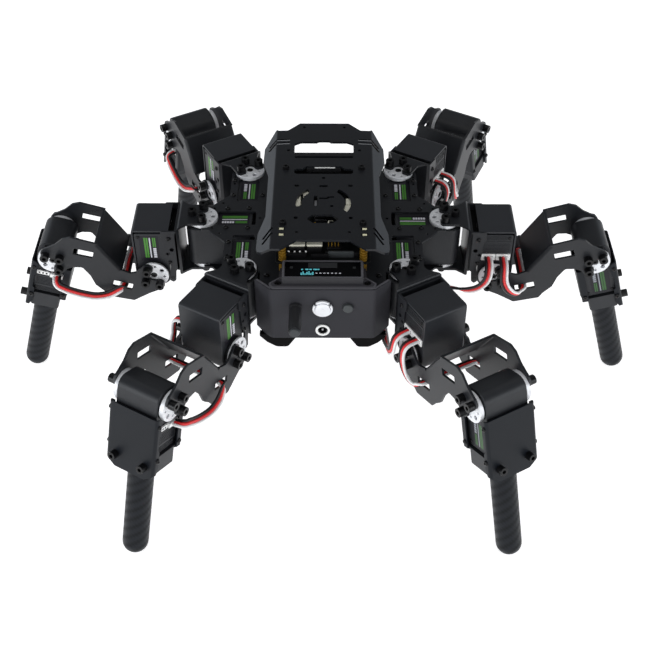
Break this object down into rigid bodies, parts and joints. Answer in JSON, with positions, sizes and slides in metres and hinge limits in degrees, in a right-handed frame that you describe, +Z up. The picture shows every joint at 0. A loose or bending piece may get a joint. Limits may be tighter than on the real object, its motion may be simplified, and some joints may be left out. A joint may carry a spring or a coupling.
{
  "type": "hexapod walking robot",
  "caption": "Six-legged walking robot: sheet-metal chassis with a folded deck, front control panel and small display, and jointed legs with yaw, lift and knee servos and tube feet.",
  "frame": {"origin": "on the ground below the centre of the chassis, level with the lowest points of the feet", "axes": "+Z up; -Y is the front, the end with the display and the power button; +X is the side on the right in a picture taken from the front"},
  "size_m": [0.5522, 0.439, 0.1985],
  "materials": {
    "sheet_metal": "black anodised, fine satin",
    "servo_case": "moulded, fine texture",
    "panel_plastic": "satin",
    "screen_glass": "black backed",
    "plated_metal": "bright plated",
    "antenna_rubber": "matte",
    "circuit_board": "solder mask",
    "battery_wrap": "shrink wrap",
    "foot_tube": "fibre-filled tube, satin",
    "lead_wire": "soft insulation"
  },
  "bodies": {
    "chassis": {"deck": "sheet_metal", "upper_servo_plate": "sheet_metal", "lower_servo_plate": "sheet_metal", "front_panel": "panel_plastic", "rear_panel": "panel_plastic", "display_bezel": "panel_plastic", "display_glass": "screen_glass", "dc_jack": "plated_metal", "antenna": "antenna_rubber", "controller_board": "circuit_board", "battery_pack": "battery_wrap", "front_left_coxa_servo": "servo_case", "mid_left_coxa_servo": "servo_case", "rear_left_coxa_servo": "servo_case", "front_right_coxa_servo": "servo_case", "mid_right_coxa_servo": "servo_case", "rear_right_coxa_servo": "servo_case"},
    "power_button": {"power_button": "plated_metal"},
    "front_left_coxa": {"front_left_coxa_bracket": "sheet_metal", "front_left_femur_servo": "servo_case", "front_left_servo_leads": "lead_wire"},
    "front_left_femur": {"front_left_femur_link": "sheet_metal"},
    "front_left_tibia": {"front_left_tibia_servo": "servo_case", "front_left_tibia_bracket": "sheet_metal", "front_left_foot": "foot_tube"},
    "mid_left_coxa": {"mid_left_coxa_bracket": "sheet_metal", "mid_left_femur_servo": "servo_case", "mid_left_servo_leads": "lead_wire"},
    "mid_left_femur": {"mid_left_femur_link": "sheet_metal"},
    "mid_left_tibia": {"mid_left_tibia_servo": "servo_case", "mid_left_tibia_bracket": "sheet_metal", "mid_left_foot": "foot_tube"},
    "rear_left_coxa": {"rear_left_coxa_bracket": "sheet_metal", "rear_left_femur_servo": "servo_case", "rear_left_servo_leads": "lead_wire"},
    "rear_left_femur": {"rear_left_femur_link": "sheet_metal"},
    "rear_left_tibia": {"rear_left_tibia_servo": "servo_case", "rear_left_tibia_bracket": "sheet_metal", "rear_left_foot": "foot_tube"},
    "front_right_coxa": {"front_right_coxa_bracket": "sheet_metal", "front_right_femur_servo": "servo_case", "front_right_servo_leads": "lead_wire"},
    "front_right_femur": {"front_right_femur_link": "sheet_metal"},
    "front_right_tibia": {"front_right_tibia_servo": "servo_case", "front_right_tibia_bracket": "sheet_metal", "front_right_foot": "foot_tube"},
    "mid_right_coxa": {"mid_right_coxa_bracket": "sheet_metal", "mid_right_femur_servo": "servo_case", "mid_right_servo_leads": "lead_wire"},
    "mid_right_femur": {"mid_right_femur_link": "sheet_metal"},
    "mid_right_tibia": {"mid_right_tibia_servo": "servo_case", "mid_right_tibia_bracket": "sheet_metal", "mid_right_foot": "foot_tube"},
    "rear_right_coxa": {"rear_right_coxa_bracket": "sheet_metal", "rear_right_femur_servo": "servo_case", "rear_right_servo_leads": "lead_wire"},
    "rear_right_femur": {"rear_right_femur_link": "sheet_metal"},
    "rear_right_tibia": {"rear_right_tibia_servo": "servo_case", "rear_right_tibia_bracket": "sheet_metal", "rear_right_foot": "foot_tube"}
  },
  "joints": [
    {"name": "power_button_press", "type": "slide", "parent": "chassis", "child": "power_button", "axis": [0, 1, 0], "range_m": [0, 0.0008], "stiffness_N_per_m": 600},
    {"name": "front_left_yaw", "type": "hinge", "parent": "chassis", "child": "front_left_coxa", "pos_m": [-0.0647, -0.0661, 0.17054], "axis": [0, 0, 1], "range_deg": [-38, 11], "deforming": ["front_left_servo_leads"]},
    {"name": "front_left_femur_lift", "type": "hinge", "parent": "front_left_coxa", "child": "front_left_femur", "pos_m": [-0.08605, -0.10308, 0.12504], "axis": [-0.866, 0.5, 0], "range_deg": [-50, 29], "deforming": ["front_left_servo_leads"]},
    {"name": "front_left_tibia_bend", "type": "hinge", "parent": "front_left_femur", "child": "front_left_tibia", "pos_m": [-0.12755, -0.17496, 0.14088], "axis": [0.866, -0.5, 0], "range_deg": [-60, 35], "deforming": ["front_left_servo_leads"]},
    {"name": "mid_left_yaw", "type": "hinge", "parent": "chassis", "child": "mid_left_coxa", "pos_m": [-0.1003, 0, 0.17054], "axis": [0, 0, 1], "range_deg": [-32, 32], "deforming": ["mid_left_servo_leads"]},
    {"name": "mid_left_femur_lift", "type": "hinge", "parent": "mid_left_coxa", "child": "mid_left_femur", "pos_m": [-0.143, 0, 0.12504], "axis": [0, 1, 0], "range_deg": [-50, 29], "deforming": ["mid_left_servo_leads"]},
    {"name": "mid_left_tibia_bend", "type": "hinge", "parent": "mid_left_femur", "child": "mid_left_tibia", "pos_m": [-0.226, 0, 0.14088], "axis": [0, -1, 0], "range_deg": [-60, 35], "deforming": ["mid_left_servo_leads"]},
    {"name": "rear_left_yaw", "type": "hinge", "parent": "chassis", "child": "rear_left_coxa", "pos_m": [-0.0647, 0.0661, 0.17054], "axis": [0, 0, 1], "range_deg": [-11, 38], "deforming": ["rear_left_servo_leads"]},
    {"name": "rear_left_femur_lift", "type": "hinge", "parent": "rear_left_coxa", "child": "rear_left_femur", "pos_m": [-0.08605, 0.10308, 0.12504], "axis": [0.866, 0.5, 0], "range_deg": [-50, 29], "deforming": ["rear_left_servo_leads"]},
    {"name": "rear_left_tibia_bend", "type": "hinge", "parent": "rear_left_femur", "child": "rear_left_tibia", "pos_m": [-0.12755, 0.17496, 0.14088], "axis": [-0.866, -0.5, 0], "range_deg": [-60, 35], "deforming": ["rear_left_servo_leads"]},
    {"name": "front_right_yaw", "type": "hinge", "parent": "chassis", "child": "front_right_coxa", "pos_m": [0.0647, -0.0661, 0.17054], "axis": [0, 0, 1], "range_deg": [-11, 38], "deforming": ["front_right_servo_leads"]},
    {"name": "front_right_femur_lift", "type": "hinge", "parent": "front_right_coxa", "child": "front_right_femur", "pos_m": [0.08605, -0.10308, 0.12504], "axis": [-0.866, -0.5, 0], "range_deg": [-50, 29], "deforming": ["front_right_servo_leads"]},
    {"name": "front_right_tibia_bend", "type": "hinge", "parent": "front_right_femur", "child": "front_right_tibia", "pos_m": [0.12755, -0.17496, 0.14088], "axis": [0.866, 0.5, 0], "range_deg": [-60, 35], "deforming": ["front_right_servo_leads"]},
    {"name": "mid_right_yaw", "type": "hinge", "parent": "chassis", "child": "mid_right_coxa", "pos_m": [0.1003, 0, 0.17054], "axis": [0, 0, 1], "range_deg": [-32, 32], "deforming": ["mid_right_servo_leads"]},
    {"name": "mid_right_femur_lift", "type": "hinge", "parent": "mid_right_coxa", "child": "mid_right_femur", "pos_m": [0.143, 0, 0.12504], "axis": [0, -1, 0], "range_deg": [-50, 29], "deforming": ["mid_right_servo_leads"]},
    {"name": "mid_right_tibia_bend", "type": "hinge", "parent": "mid_right_femur", "child": "mid_right_tibia", "pos_m": [0.226, 0, 0.14088], "axis": [0, 1, 0], "range_deg": [-60, 35], "deforming": ["mid_right_servo_leads"]},
    {"name": "rear_right_yaw", "type": "hinge", "parent": "chassis", "child": "rear_right_coxa", "pos_m": [0.0647, 0.0661, 0.17054], "axis": [0, 0, 1], "range_deg": [-38, 11], "deforming": ["rear_right_servo_leads"]},
    {"name": "rear_right_femur_lift", "type": "hinge", "parent": "rear_right_coxa", "child": "rear_right_femur", "pos_m": [0.08605, 0.10308, 0.12504], "axis": [0.866, -0.5, 0], "range_deg": [-50, 29], "deforming": ["rear_right_servo_leads"]},
    {"name": "rear_right_tibia_bend", "type": "hinge", "parent": "rear_right_femur", "child": "rear_right_tibia", "pos_m": [0.12755, 0.17496, 0.14088], "axis": [-0.866, 0.5, 0], "range_deg": [-60, 35], "deforming": ["rear_right_servo_leads"]}
  ]
}
